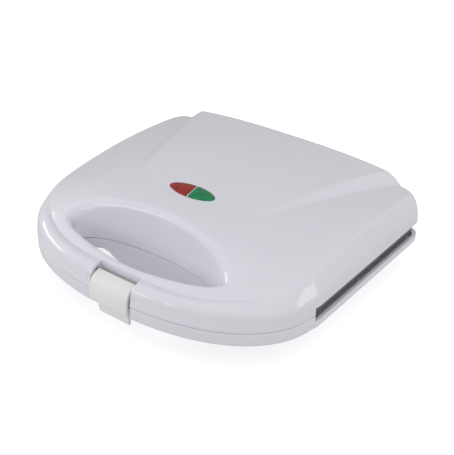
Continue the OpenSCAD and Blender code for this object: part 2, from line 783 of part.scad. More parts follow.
module lower_shell() {
    difference() {
        union() {
            rim(0, lower_face_z);
            pan(0, parting_z - rim_h + 1);
            dam_block(0, parting_z - 2, parting_z + dam_h);
            hole_skirt();
        }
        difference() {
            union() {
                difference() {
                    union() {
                        rim(wall, parting_z + 1);
                        pan(wall, parting_z - rim_h + wall + 1);
                    }
                    block([-half_w, rim_y, lower_face_z - deck_t], [half_w, dam_y, parting_z + 2]);
                }
                block([-dam_half + wall, dam_front_y + wall, parting_z - 6],
                    [dam_half - wall, dam_y - wall, parting_z + dam_h - deck_t]);
            }
            hole_prism(wall, -1, parting_z + 10);
            notch(base_notch_y, wall, 0, parting_z + 2);
            bosses(0, plate_bottom_z - part_gap);
            for (p = foot_places) translate([p[0], p[1], 0])
                cylinder(r = boss_r, h = pan_floor_z + wall + foot_boss_h, $fn = 32);
        }
        hole_prism(0, -1, parting_z + 10);
        hole_ends();
        notch(base_notch_y, 0, -1, parting_z + 2);
        slot_cut();
    }
    // Catch that the latch's tooth stands in front of
    block([-7, base_notch_y - 1.4, parting_z - 5.5], [7, base_notch_y + 1, parting_z - 3]);
}

bush_l = 12;
bush_flange_r = 8;
bush_flange_t = 2;
wires_r = 2.5;
outlet_y = rear_y - 2.6;

// Flat pad on the pan's rear wall that the cord's bush seats on
module outlet_pad() {
    block([outlet_x - bush_flange_r, rear_y - 14, outlet_h - bush_flange_r],
        [outlet_x + bush_flange_r, outlet_y, parting_z - rim_h + 1]);
}

module cord_bush() {
    color(black) translate([outlet_x, outlet_y + part_gap, outlet_h]) rotate([-90, 0, 0]) difference() {
        union() {
            cylinder(r = bush_flange_r, h = bush_flange_t, $fn = 48);
            cylinder(r = outlet_r + wall, h = bush_l, $fn = 48);
        }
        translate([0, 0, -1]) cylinder(r = outlet_r, h = bush_l + 2, $fn = 48);
    }
}

module lower_housing() {
    color(white) difference() {
        union() {
            moulded() lower_shell();
            outlet_pad();
            for (x = [-hinge_x, hinge_x]) for (s = [-1, 1])
                hinge_arm(x + s * (knuckle_w / 2 + knuckle_gap + ear_w / 2), ear_w, -1, slot_low + axis_up);
        }
        for (x = [-hinge_x, hinge_x]) along_x(x, axis_y, axis_z, pin_r, pin_l + 1);
        translate([outlet_x, outlet_y + 1, outlet_h]) rotate([90, 0, 0])
            cylinder(r = wires_r, h = 20, $fn = 32);
        for (p = screw_places) translate([p[0], p[1], plate_bottom_z - part_gap + 1 - lower_screw_l])
            cylinder(r = screw_r, h = lower_screw_l + 2, $fn = 32);
        for (p = foot_places) translate([p[0], p[1], -1])
            cylinder(r = screw_r, h = 1.2 + head_t + foot_screw_l + 1.2, $fn = 32);
    }
}

// ---- Latch ----

// Side view of the latch as [distance behind the rim, height above the parting line]
module latch_profile(low) {
    top = latch_top;
    under = -cover_bottom;
    tab = -tab_bottom;
    intersection() {
        union() {
            polygon([[9.2, top], [3.6, top - 1.7], [0.1, top - 5.7], [-1.3, 1], [-1.5, under],
                [0.2, under - 0.9], [2.3, under - 1.2], [2.9, under - 5], [3.6, tab + 0.9],
                [4.3, tab], [5.1, tab + 0.4], [5.6, tab + 1.4],
                [5.3, under - 4.6], [4.9, under - 2], [2.6, under + 0.8], [-1.3 + latch_t, 0],
                [-1.1 + latch_t + 0.6, 3.5], [5, 5.2], [9.2, top - 2.3]]);
            translate([latch_pin_y - rim_y, latch_pin_z - parting_z]) circle(r = 3.6, $fn = 48);
        }
        translate([-10, low]) square([30, 40]);
    }
}

module latch_part(w, low) {
    translate([w / 2, rim_y, parting_z]) rotate([90, 0, -90]) mirror([1, 0, 0])
        linear_extrude(height = w) latch_profile(low);
}

module latch_clip() {
    color(latch_grey) difference() {
        union() {
            latch_part(latch_w, -cover_bottom - 0.8);
            latch_part(tab_w, -40);
            block([-6, rim_y + 0.5, parting_z - 5.5], [6, base_notch_y - 1.8, parting_z - 3]);
        }
        along_x(0, latch_pin_y, latch_pin_z, latch_pin_r + latch_clear, latch_w + 2);
    }
}

// ---- Indicator window ----

lens_crown = 110;
lens_top_z = parting_z + dome_h + 0.8;

module lens_half(side) {
    intersection() {
        translate([0, 0, lens_top_z - 5]) linear_extrude(height = 10) almond(0);
        translate([0, lens_y, lens_top_z - lens_crown]) sphere(r = lens_crown, $fn = 200);
        translate([0, lens_y, 0]) rotate([0, 0, -lens_slant])
            translate([(side > 0) ? lens_gap / 2 : -60, -60, 0])
                cube([60 - ((side > 0) ? 0 : lens_gap / 2), 120, 100]);
    }
}

module power_lens() {
    color([0.8, 0.15, 0.12]) lens_half(-1);
}

module ready_lens() {
    color([0.1, 0.6, 0.35]) lens_half(1);
}

lamp_x = 9;
lamp_r = 2.4;
holder_z = parting_z + 26;

module lamp(x) {
    translate([x, lens_y, holder_z + 1.8]) {
        cylinder(r = lamp_r, h = 5.2, $fn = 32);
        translate([0, 0, 5.2]) sphere(r = lamp_r, $fn = 32);
    }
}

module power_lamp() {
    color([0.95, 0.5, 0.3]) lamp(-lamp_x);
}

module ready_lamp() {
    color([0.6, 0.9, 0.6]) lamp(lamp_x);
}

module lamp_holder() {
    color(black) difference() {
        union() {
            block([-24, lens_y - 5, holder_z], [24, lens_y + 5, holder_z + 1.6]);
            for (s = [-1, 1]) translate([s * lamp_x, lens_y, holder_z])
                cylinder(r = lamp_r + 1.6, h = 4.5, $fn = 32);
            for (s = [-1, 1]) translate([s * 22, lens_y, holder_z])
                cylinder(r = 2, h = dome_h - wall - 27, $fn = 24);
        }
        for (s = [-1, 1]) translate([s * lamp_x, lens_y, holder_z + 1.6])
            cylinder(r = lamp_r + part_gap, h = 4, $fn = 32);
    }
}

// ---- Electrical pieces inside ----

web_z = plate_top_z + part_gap;

module thermostat() {
    color(black) block([-6, well_mid_y - 8, web_z], [6, well_mid_y + 8, web_z + 9]);
    color(steel) for (s = [-1, 1]) translate([0, well_mid_y + s * 5, web_z + 9])
        cylinder(r = 1.5, h = 3, $fn = 24);
}

module thermal_fuse() {
    color(steel) translate([0, well_mid_y + 34, web_z + 2.2]) rotate([90, 0, 0])
        cylinder(r = 2.2, h = 16, $fn = 32);
    color(steel) translate([0, well_mid_y + 37, web_z + 2.2]) rotate([90, 0, 0])
        cylinder(r = 0.6, h = 22, $fn = 16);
}

block_w = 10;
block_l = 28;
block_h = 9;
block_pitch = 9;
block_back = 52;
block_screw_r = 1.75;
block_x = reflector_half + block_w / 2 + 2;
block_y = rear_y - block_back;
block_z = pan_floor_z + wall + part_gap;

module terminal_block() {
    color([0.9, 0.9, 0.88]) difference() {
        block([block_x - block_w / 2, block_y - block_l / 2, block_z],
            [block_x + block_w / 2, block_y + block_l / 2, block_z + block_h]);
        for (k = [-1:1]) translate([block_x, block_y + block_pitch * k, block_z + block_h / 3])
            cylinder(r = block_screw_r + 0.15, h = block_h, $fn = 24);
        for (k = [-1:1]) along_x(block_x, block_y + block_pitch * k, block_z + 2.5, 1.4, block_w + 2);
    }
}

module terminal_screws() {
    color(copper_tone) for (k = [-1:1]) translate([block_x, block_y + block_pitch * k, block_z + 5])
        cylinder(r = block_screw_r, h = block_h / 3, $fn = 24);
}

lower_housing();
lower_plate();
lower_element();
lower_reflector();
lower_plate_screws();
rubber_feet();
foot_screws();
hinge_pins();
cord_bush();
terminal_block();
terminal_screws();
upper_housing();
upper_plate();
upper_element();
upper_reflector();
upper_plate_screws();
thermostat();
thermal_fuse();
power_lens();
ready_lens();
power_lamp();
ready_lamp();
lamp_holder();
latch_pin();
latch_clip();
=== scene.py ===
"""Two-slice sandwich toaster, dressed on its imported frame. Lengths below are in millimetres in the row's frame."""

import math

import bmesh
import bpy
import numpy as np
from mathutils import Matrix, Vector


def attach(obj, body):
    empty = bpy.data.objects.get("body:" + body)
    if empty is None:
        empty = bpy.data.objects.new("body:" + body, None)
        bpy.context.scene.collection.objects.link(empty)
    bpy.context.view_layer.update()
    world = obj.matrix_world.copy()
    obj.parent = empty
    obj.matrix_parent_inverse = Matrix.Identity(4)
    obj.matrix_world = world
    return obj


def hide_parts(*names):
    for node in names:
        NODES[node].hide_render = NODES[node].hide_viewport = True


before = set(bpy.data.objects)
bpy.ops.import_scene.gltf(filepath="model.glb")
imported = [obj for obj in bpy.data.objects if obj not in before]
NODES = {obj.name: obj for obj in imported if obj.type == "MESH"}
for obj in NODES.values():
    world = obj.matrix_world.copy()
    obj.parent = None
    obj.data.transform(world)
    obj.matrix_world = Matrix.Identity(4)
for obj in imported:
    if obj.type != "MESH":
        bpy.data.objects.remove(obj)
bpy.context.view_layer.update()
MM = 0.001

# ---- Sizes that the part's source has too ----

HALF = 114.0
WALL = 2.2
DECK = 2.8
PART_Z = 31.0
FACE_GAP = 0.15
REAR_Y = 95.6
RIM_Y = -105.5
NOSE_D = 69.0
NOSE_Y = RIM_Y + NOSE_D
NOSE_N = 2.25
FLANK_PROUD = 1.0
FLANK_FADE = 9.0
REAR_R = 9.0
REAR_BOW = 3.0
DOME_H = 40.2
DOME_REAR_FALL = 9.0
DOME_FRONT_FALL = 15.0
PEAK_BACK = 113.0
PEAK_Y = REAR_Y - PEAK_BACK
SHOULDER_H = 29.4
SHOULDER_FALL = 4.0
SHOULDER_PEAK = 60.0
SHOULDER_FRONT = 12.6
SHOULDER_IN = 8.4
SHOULDER_REAR_IN = 3.0
PANEL_H = 7.0
PANEL_REAR = 88.0
PANEL_FRONT = 50.0
PANEL_L = 119.0
RIM_H = 9.6
PAN_H = 27.0
PAN_TOP = 106.0
PAN_BOTTOM = 88.0
PAN_MID = REAR_Y - 90.0
PAN_FRONT = 56.0
PAN_SLOPE = 12.0
PAN_R = 14.0
PAN_N = 8
SKIRT_H = 17.0
HOLE_HALF = 56.0
SCOOP_HALF = 68.0
BAR_Y = RIM_Y + 20.0
HOLE_Y = BAR_Y + 30.0
HOLE_MID = BAR_Y + 15.0
EDGE_R = 5.0
DAM_H = 5.0
SLOT_LOW = 3.6
SLOT_HIGH = 6.2
SLOT_Y = NOSE_Y - 5.0
PLATE_REAR = REAR_Y - 3.0
PLATE_FRONT = PLATE_REAR - 138.0
DAM_Y = PLATE_FRONT - 0.6
DAM_HALF = HOLE_HALF + 6.0
DAM_FRONT = HOLE_MID - 4.0
DAM_GAP = 0.5
NOTCH_HALF = 17.3
NOTCH_Y = RIM_Y + 12.5
BASE_NOTCH_Y = RIM_Y + 6.0
LATCH_PIN = (RIM_Y + 6.2, PART_Z + 7.2)
LATCH_PIN_R = 1.2
# Lower and upper face of the latch's tooth and of its catch, under the parting line
TOOTH_LOW = 5.5
TOOTH_HIGH = 3.0
LENS_Y = RIM_Y + 84.0
LENS_L = 37.0
LENS_W = 14.5
AXIS = (REAR_Y + 7.2, PART_Z + 1.3)
KNUCKLE_R = 4.2
PIN_R = 1.6
HINGE_X = 62.0
# Widths of the lid's arm and of the base's two beside it, their middles' distance, and the webs' start past the slot
ARM_W = 14.0
FORK_W = 6.0
FORK_OUT = 10.4
WEB_IN = 1.3
CORD_X = 30.0
CORD_Z = 13.0
CORD_R = 2.5
SHOULDER_HALF = HALF - SHOULDER_IN
SHOULDER_NOSE = NOSE_D - SHOULDER_IN

# ---- Sizes of the finish ----

# The panel's crease: its outer edge and width as shares of the crease's place, and how much of the slope is straight
CREASE_OUT = 1.075
CREASE_W = 0.13
CREASE_STRAIGHT = 0.12
# What the scoop's roll gains at both ends
END_ROLL = 5.0
# The band along the front: where it starts behind the rim, its slope, and how far that slope takes to set in
BAND_IN = 17.0
BAND_SLOPE = 0.42
BAND_SOFT = 3.0
# Where the band starts to fade towards the flanks, behind the rim, and over what length
BAND_FADE_AT = 18.0
BAND_FADE = 30.0
# Rolls of the lid's latch notch and of the base's wall in the hand hole
NOTCH_ROLL = 1.7
NOTCH_R = 1.4
HOLE_ROLL = 1.1
# Half of the gap between the lens halves, half of the rib that fills it, and what the crown rises over the lid
LENS_SPLIT = 0.45
RIB_HALF = 0.36
LENS_PROUD = 0.8
LENS_CROWN = 0.5
# Radius of the rounds of hinge arms and catch
SMALL_ROUND = 0.4
# Least distance between faces that would otherwise share a plane
OFF_PLANE = 0.03
# Angle in degrees from which a housing's edge stays sharp
SHELL_CREASE = 30
# Height of the cutters' ends under the parting line and past the part, and their reach past its sides and rear
CUT_BELOW = 9.0
FAR_UP = 90.0
BASE_UP = 60.0
CUT_SIDE = 5.0
CUT_REAR = 12.0


def mix(a, b, t):
    return a + (b - a) * t


def smooth(t):
    t = np.clip(t, 0.0, 1.0)
    return t * t * (3 - 2 * t)


# ---- Plan outline: from the middle of the front, round the right flank, and back ----

NOSE_STEPS, FLANK_STEPS, CORNER_STEPS, REAR_STEPS = 400, 300, 80, 300


def outline(in_side, in_rear):
    half, depth, rear = HALF - in_side, NOSE_D - in_side, REAR_Y - in_rear
    tau = np.linspace(0, math.pi / 2, NOSE_STEPS, endpoint=False)
    x = (half - FLANK_PROUD) * np.sin(tau) ** (2 / NOSE_N)
    y = NOSE_Y - depth * np.cos(tau) ** (2 / NOSE_N)
    x = x + FLANK_PROUD * smooth((y - NOSE_Y + FLANK_FADE) / FLANK_FADE)
    nose = np.stack([x, y], 1)
    y = np.linspace(NOSE_Y, rear - REAR_R, FLANK_STEPS, endpoint=False)
    flank = np.stack([np.full_like(y, half), y], 1)
    q = np.linspace(0, math.pi / 2, CORNER_STEPS, endpoint=False)
    c = half - REAR_R
    corner = np.stack([c + REAR_R * np.cos(q), rear - REAR_R + REAR_R * np.sin(q)], 1)
    x = np.linspace(c, 0, REAR_STEPS + 1)
    back = np.stack([x, rear + REAR_BOW * (1 - (x / c) ** 2)], 1)
    right = np.concatenate([nose, flank, corner, back])
    return np.concatenate([right, (right * [-1, 1])[-2:0:-1]])


OUTLINE_N = len(outline(0, 0))
CORNER_AT = NOSE_STEPS + FLANK_STEPS
REAR_AT = CORNER_AT + CORNER_STEPS


def pick(points, index):
    """Points of a closed outline at fractional indices."""
    low = np.floor(index).astype(int) % len(points)
    f = (index - np.floor(index))[:, None]
    return points[low] * (1 - f) + points[(low + 1) % len(points)] * f


# ---- Height of the lid ----


def shoulder_z(y):
    return np.maximum(SHOULDER_FRONT, SHOULDER_H - SHOULDER_FALL * ((y - REAR_Y + SHOULDER_PEAK) / SHOULDER_PEAK) ** 2)


def dome_z(y):
    back = DOME_REAR_FALL * ((y - PEAK_Y) / PEAK_BACK) ** 2
    front = DOME_FRONT_FALL * ((PEAK_Y - y) / (PEAK_Y - RIM_Y)) ** 2
    return DOME_H - np.where(y > PEAK_Y, back, front)


def reach(x, y):
    nose = np.maximum(0, NOSE_Y - y) / SHOULDER_NOSE
    return ((np.abs(x) / SHOULDER_HALF) ** NOSE_N + nose**NOSE_N) ** (1 / NOSE_N)


def panel_rise(x, y):
    t = np.clip((y - REAR_Y + PANEL_L) / PANEL_L, 0, 1.2)
    crease = mix(PANEL_FRONT, PANEL_REAR, t)
    u = np.clip((crease * CREASE_OUT - np.abs(x)) / (CREASE_W * crease), 0, 1)
    return PANEL_H * np.minimum(t, 1) * mix(smooth(u), u, CREASE_STRAIGHT)


def lid_z(x, y):
    s = shoulder_z(y)
    return s + (dome_z(y) - s) * (1 - np.minimum(1, reach(x, y)) ** 3) + panel_rise(x, y)


def edge_r(t):
    """Radius of the roll round the scoop, larger at both ends."""
    return EDGE_R + END_ROLL * np.abs(np.cos(t)) ** 4


def scoop_point(t, rise, out):
    """Plan of the scoop's wall at angle t, from its foot (rise 0) to its upper edge (rise 1), moved outwards by out."""
    u = np.abs(np.cos(t))
    front = np.maximum(0, -np.sin(t))
    mid = mix(HOLE_MID, HOLE_MID - 1.5, rise)
    half = mix(HOLE_HALF, SCOOP_HALF - EDGE_R, rise) + out
    rear_d = mix(HOLE_Y, HOLE_Y + 2.5, rise) - mid + out
    front_d = mid - BAR_Y + 1.5 * rise**3 + out * (1 + 0.3 * front)
    bow = np.maximum(0, 1 - u ** mix(2, 1.75, rise)) ** mix(0.5, 0.6, rise)
    return np.stack([half * np.cos(t), mid + np.where(np.sin(t) >= 0, rear_d, -front_d) * bow], 1)


# ---- Meshes ----


def lift(points, z):
    return np.column_stack([points, np.broadcast_to(z, len(points))])


def new_object(name, verts, faces, recalc=False):
    mesh = bpy.data.meshes.new(name)
    mesh.from_pydata([tuple(v) for v in np.asarray(verts) * MM], [], faces)
    mesh.validate()
    if recalc:
        bm = bmesh.new()
        bm.from_mesh(mesh)
        bmesh.ops.recalc_face_normals(bm, faces=bm.faces)
        bm.to_mesh(mesh)
        bm.free()
    obj = bpy.data.objects.new(name, mesh)
    bpy.context.scene.collection.objects.link(obj)
    return obj


def ring_mesh(name, rings, loop=False):
    """Closed solid from rings of equal length, capped at both ends or joined into a torus."""
    n, m = len(rings[0]), len(rings)
    verts = np.concatenate(rings)
    faces = []
    for j in range(m if loop else m - 1):
        a, b = j * n, ((j + 1) % m) * n
        faces += [(a + k, a + (k + 1) % n, b + (k + 1) % n, b + k) for k in range(n)]
    if not loop:
        faces += [tuple(range(n - 1, -1, -1)), tuple(range((m - 1) * n, m * n))]
    return new_object(name, verts, faces, recalc=True)


def box(name, low, high):
    (a, b, c), (d, e, f) = low, high
    verts = [(a, b, c), (d, b, c), (d, e, c), (a, e, c), (a, b, f), (d, b, f), (d, e, f), (a, e, f)]
    faces = [(3, 2, 1, 0), (4, 5, 6, 7), (0, 1, 5, 4), (1, 2, 6, 5), (2, 3, 7, 6), (3, 0, 4, 7)]
    return new_object(name, verts, faces)


def apply_all(obj):
    depsgraph = bpy.context.evaluated_depsgraph_get()
    mesh = bpy.data.meshes.new_from_object(obj.evaluated_get(depsgraph))
    obj.modifiers.clear()
    old, obj.data = obj.data, mesh
    bpy.data.meshes.remove(old)
    return obj


def boolean(obj, others, how="DIFFERENCE"):
    for other in others:
        mod = obj.modifiers.new("cut", "BOOLEAN")
        mod.operation, mod.solver, mod.object = how, "MANIFOLD", other
        apply_all(obj)
        bpy.data.objects.remove(other)
    return obj


def join(name, objects):
    bm = bmesh.new()
    for o in objects:
        bm.from_mesh(o.data)
        bpy.data.objects.remove(o)
    mesh = bpy.data.meshes.new(name)
    bm.to_mesh(mesh)
    bm.free()
    obj = bpy.data.objects.new(name, mesh)
    bpy.context.scene.collection.objects.link(obj)
    return obj


def shade(obj, degrees):
    mesh = obj.data
    mesh.polygons.foreach_set("use_smooth", [True] * len(mesh.polygons))
    mesh.set_sharp_from_angle(angle=math.radians(degrees))
    return obj


def bevel(obj, width, segments=3):
    mod = obj.modifiers.new("bevel", "BEVEL")
    mod.width, mod.segments = width * MM, segments
    mod.limit_method, mod.angle_limit = "ANGLE", math.radians(40)
    return apply_all(obj)


def prism_x(name, profile, x0, x1):
    """Solid from a side view of (y, z) points between two places along X."""
    p = np.asarray(profile, float)
    return ring_mesh(name, [np.column_stack([np.full(len(p), x), p]) for x in (x0, x1)])


def round_profile(points):
    """Cuts the corners of a closed profile twice, a quarter off each side."""
    p = np.asarray(points, float)
    for _ in range(2):
        q = np.roll(p, -1, 0)
        p = np.stack([p * 0.75 + q * 0.25, p * 0.25 + q * 0.75], 1).reshape(-1, 2)
    return p


def circle(cy, cz, r, n=64):
    t = np.linspace(0, 2 * math.pi, n, endpoint=False)
    return np.column_stack([cy + r * np.cos(t), cz + r * np.sin(t)])


# ---- Lid shell: one skin from the scoop's foot over the dome to the lower edge, and back inside ----

FRONT_RAYS, REAR_RAYS = 90, 170
DOME_ROWS, INNER_ROWS = 110, 30
SCOOP_STEPS = 400
# Where the rays to the front and those to the rear part, behind the middle of the hand hole
RAYS_PART = 14.0


def spaced(curve, count):
    """Fractional indices that divide a run of points into equal lengths."""
    s = np.concatenate([[0], np.cumsum(np.linalg.norm(np.diff(curve, axis=0), axis=1))])
    return np.interp(np.linspace(0, s[-1], count, endpoint=False), s, np.arange(len(curve)))


def ray_places():
    """Matching places: an angle on the scoop and an index on the outline, counter-clockwise from the front."""
    shoulder = outline(SHOULDER_IN, SHOULDER_REAR_IN)
    side = int(np.argmax(shoulder[:NOSE_STEPS + 1, 1] > HOLE_MID + RAYS_PART))
    rear = REAR_AT + REAR_STEPS
    quarters = [(-90, 0, 0, side, FRONT_RAYS), (0, 90, side, rear, REAR_RAYS)]
    angles, places = [], []
    for a0, a1, i0, i1, count in quarters:
        t = np.radians(np.linspace(a0, a1, SCOOP_STEPS))
        angles.append(np.interp(spaced(scoop_point(t, 1, edge_r(t)), count), np.arange(SCOOP_STEPS), t))
        places.append(i0 + spaced(shoulder[i0:i1 + 1], count))
    t = np.concatenate(angles + [[math.pi / 2]])
    i = np.concatenate(places + [[rear]])
    return np.concatenate([t, (math.pi - t)[-2:0:-1]]), np.concatenate([i, (OUTLINE_N - i)[-2:0:-1]])


RAY_T, RAY_I = ray_places()
# Share of the rear profile at each ray: 0 along the flanks, 1 along the rear edge
REAR_SHARE = smooth((np.minimum(RAY_I, OUTLINE_N - RAY_I) - CORNER_AT) / CORNER_STEPS)

# Side profiles, downwards: inset and share of the shoulder's height
FLANK_PROFILE = [(8.4, 1.0), (7.6, 0.986), (6.7, 0.95), (5.6, 0.885), (4.2, 0.79), (2.9, 0.695), (1.8, 0.615),
                 (1.1, 0.55), (0.62, 0.48), (0.36, 0.40), (0.2, 0.3), (0.08, 0.2), (0.0, 0.1)]
REAR_PROFILE = [(3.0, 1.0), (2.3, 0.99), (1.6, 0.972), (1.15, 0.95), (0.85, 0.925), (0.68, 0.89), (0.55, 0.83),
                (0.45, 0.74), (0.36, 0.62), (0.26, 0.48), (0.16, 0.34), (0.07, 0.2), (0.0, 0.1)]
FRONT_PROFILE = [(8.4, 1.0), (7.4, 0.99), (6.5, 0.975), (5.6, 0.95), (4.6, 0.91), (3.6, 0.855), (2.8, 0.785),
                 (2.2, 0.71), (1.75, 0.61), (1.35, 0.48), (0.95, 0.33), (0.5, 0.2), (0.0, 0.1)]
# Lower edge of the lid: inset and height over the parting line
LOW_EDGE = [(0.0, 1.1), (0.06, 0.65), (0.2, 0.36), (0.45, 0.2), (0.8, FACE_GAP)]


def front_share(y):
    """1 along the middle of the nose, where the lid ends in a tall rounded band, and 0 from its sides backwards."""
    return 1 - smooth((y - RIM_Y - BAND_FADE_AT) / BAND_FADE)


def front_rise(inset):
    """What the skin gains over the dome on its way to the front band's crease."""
    t = np.maximum(0, BAND_IN - inset)
    return BAND_SLOPE * t * t / (t + BAND_SOFT)


def lid_rings():
    roll = edge_r(RAY_T)
    edge = scoop_point(RAY_T, 1, roll)
    rim = pick(outline(SHOULDER_IN, SHOULDER_REAR_IN), RAY_I)
    front = front_share(rim[:, 1])
    rings = []

    def skin_z(p):
        return lid_z(p[:, 0], p[:, 1]) + front * front_rise(SHOULDER_IN + np.linalg.norm(p - rim, axis=1))

    # Scoop's wall
    for rise in (0, 0.2, 0.4, 0.6, 0.8, 1.0):
        top = skin_z(edge) - roll
        rings.append(lift(scoop_point(RAY_T, rise, 0), mix(DAM_H, top, rise)))
    foot = rings[0].copy()
    foot[:, 2] = FACE_GAP
    rings.insert(0, foot)
    # Rounded upper edge
    for q in np.radians(np.linspace(8, 82, 9)):
        p = scoop_point(RAY_T, 1, roll * (1 - math.cos(q)))
        rings.append(lift(p, mix(skin_z(edge), skin_z(p), math.sin(q)) - roll * (1 - math.sin(q))))
    # Dome
    for k in range(DOME_ROWS + 1):
        p = mix(edge, rim, k / DOME_ROWS)
        rings.append(lift(p, skin_z(p)))
    top = skin_z(rim)

    def side_ring(k, inward):
        (a, za), (b, zb), (c, zc) = FLANK_PROFILE[k], REAR_PROFILE[k], FRONT_PROFILE[k]
        round_back = pick(outline(a + inward, b + inward), RAY_I)
        p = mix(round_back, pick(outline(c + inward, c + inward), RAY_I), front[:, None])
        return lift(p, top * mix(mix(za, zb, REAR_SHARE), zc, front) - inward)

    rings += [side_ring(k, 0) for k in range(1, len(FLANK_PROFILE))]
    for inset, z in LOW_EDGE:
        rings.append(lift(pick(outline(inset, inset), RAY_I), z))
    # Inside
    for inset, z in ((WALL, FACE_GAP), (WALL, 2.0)):
        rings.append(lift(pick(outline(inset, inset), RAY_I), z))
    rings += [side_ring(k, WALL) for k in (6, 4, 2, 0)]
    inner_rim = pick(outline(SHOULDER_IN + WALL, SHOULDER_REAR_IN + WALL), RAY_I)
    inner_edge = scoop_point(RAY_T, 1, roll + 0.6)
    for k in range(INNER_ROWS - 1, 0, -1):
        p = mix(inner_edge, inner_rim, k / INNER_ROWS)
        rings.append(lift(p, lid_z(p[:, 0], p[:, 1]) - WALL))
    for rise in (1.0, 0.5, 0):
        drop = lid_z(edge[:, 0], edge[:, 1]) - roll - 0.4
        rings.append(lift(scoop_point(RAY_T, rise, WALL), mix(DAM_H, drop, rise)))
    last = rings[-1].copy()
    last[:, 2] = FACE_GAP
    rings.append(last)
    return [r + [0, 0, PART_Z] for r in rings]


HOLE_T = np.linspace(0, 2 * math.pi, 240, endpoint=False)


def hole_prism(out, low, high):
    p = scoop_point(HOLE_T, 0, out)
    return ring_mesh("hole", [lift(p, low), lift(p, high)])


def plan_at(inset):
    return pick(outline(inset, inset), RAY_I)


def window_points(grow, n=120):
    """Oval of the indicator window."""
    a = np.linspace(0, 2 * math.pi, n, endpoint=False)
    c, s = np.cos(a), np.sin(a)
    bow = np.sign(s) * np.abs(s) ** 1.12
    return np.column_stack([(LENS_L / 2 + grow) * c, (LENS_W / 2 + grow) * bow]) + [0, LENS_Y]


def hinge_arm(x, w, up, edge):
    """Knuckle on the axis and its web into the housing, past the slot's edge: up is 1 on the lid, -1 on the base."""
    r, arm = KNUCKLE_R, edge + 4.5
    knuckle = prism_x("arm", circle(*AXIS, r, 72), x - w / 2, x + w / 2)
    body = np.array([(0.62 * r, 0.72 * r * up), (0.2 * r, 1.15 * r * up), (-0.55 * r, 1.55 * r * up),
                     (-6.5, arm * up), (-8.2, arm * up), (-8.2, (edge + 0.4) * up),
                     (-0.94 * r, 0.2 * r * up), (0, -0.4 * r * up)])[::up]
    web = prism_x("web", body + list(AXIS), x - w / 2 + 0.02, x + w / 2 - 0.02)
    boolean(knuckle, [web], "UNION")
    clearance = 0.05 if up > 0 else 0
    boolean(knuckle, [prism_x("bore", circle(*AXIS, PIN_R + clearance, 48), x - w, x + w)])
    return bevel(knuckle, SMALL_ROUND)


def front_z(x, y):
    """Height of the lid's skin near the middle of its front, from the dome down over the band."""
    front = NOSE_Y - NOSE_D * (1 - (np.abs(x) / (HALF - FLANK_PROUD)) ** NOSE_N) ** (1 / NOSE_N)
    inset, share = np.array(FRONT_PROFILE[::-1]).T
    band = (lid_z(x, front + SHOULDER_IN) + front_rise(SHOULDER_IN)) * np.interp(y - front, inset, share)
    return np.where(y - front >= SHOULDER_IN, lid_z(x, y) + front_rise(y - front), band)


def notch_path(rear, out):
    """Plan of the notch, open towards the front, with rounded rear corners."""
    half, back, r = NOTCH_HALF + out, rear + out, NOTCH_R
    q = np.radians(np.linspace(0, 90, 9))
    turn = np.column_stack([half - r + r * np.cos(q), back - r + r * np.sin(q)])
    side = np.column_stack([np.full(60, half), np.linspace(RIM_Y - 8, back - r, 60, endpoint=False)])
    across = np.column_stack([np.linspace(half - r, 0, 30)[1:], np.full(29, back)])
    right = np.concatenate([side, turn, across])
    return np.concatenate([right, (right * [-1, 1])[-2::-1]])


def notch_cutter(rear, out, low, high):
    return ring_mesh("notch", [lift(notch_path(rear, out), z) for z in (low, high)])


def rolled_notch_cutter(rear, low, high):
    """Cuts the lid's notch and rounds its upper edge, which follows the skin."""
    wall, edge, flare = notch_path(rear, 0), notch_path(rear, NOTCH_ROLL), 0.8
    rings = [lift(wall, low)]
    for q in np.radians(np.linspace(0, 90, 9)):
        p = mix(wall, edge, 1 - math.cos(q))
        drop = mix(front_z(*edge.T), front_z(*p.T), math.sin(q)) - NOTCH_ROLL * (1 - math.sin(q))
        rings.append(lift(p, PART_Z + np.maximum(drop, 0.6 + 0.2 * math.sin(q))))
    outer = notch_path(rear, NOTCH_ROLL + flare)
    return ring_mesh("notch", rings + [lift(outer, rings[-1][:, 2] + flare), lift(outer, high)])


